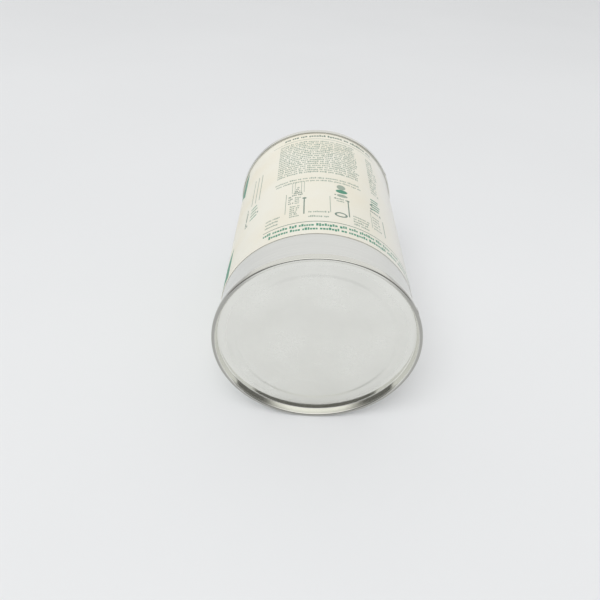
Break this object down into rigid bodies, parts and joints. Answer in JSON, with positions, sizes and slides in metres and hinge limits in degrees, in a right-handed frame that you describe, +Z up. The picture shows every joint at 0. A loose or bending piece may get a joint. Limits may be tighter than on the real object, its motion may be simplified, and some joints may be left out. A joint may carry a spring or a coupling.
{
  "type": "paint can",
  "caption": "Cylindrical tinplate can lying on its side, with double-seamed ends, a lift-out friction lid and a paper label that leaves a bare metal band.",
  "frame": {"origin": "on the surface the can lies on, straight under the middle of its axis, half way along its length", "axes": "+Z up; the can's axis runs along Y, 38.1 mm above the origin; the seamed bottom end faces -Y and the lid faces +Y"},
  "size_m": [0.0762, 0.1128, 0.0762],
  "materials": {
    "body_tinplate": "bright cold-rolled tinplate, faint grain round the can",
    "end_tinplate": "satin tinplate, polished where the seam was rolled",
    "label_paper": "uncoated cream label stock printed in green",
    "seam_compound": "matte water-based seam compound",
    "label_glue": "dried label glue",
    "label_ink": "thin green printing ink on the paper label"
  },
  "bodies": {
    "tin": {"can_body": "body_tinplate", "bottom_end": "end_tinplate", "bottom_seam_compound": "seam_compound", "lever_ring": "end_tinplate", "top_seam_compound": "seam_compound", "paper_label": "label_paper", "label_pickup_glue": "label_glue", "label_lap_glue": "label_glue"},
    "lid": {"lever_lid": "end_tinplate"}
  },
  "joints": [
    {"name": "lid_lift", "type": "slide", "parent": "tin", "child": "lid", "axis": [0, 1, 0], "range_m": [0, 0.04]}
  ]
}
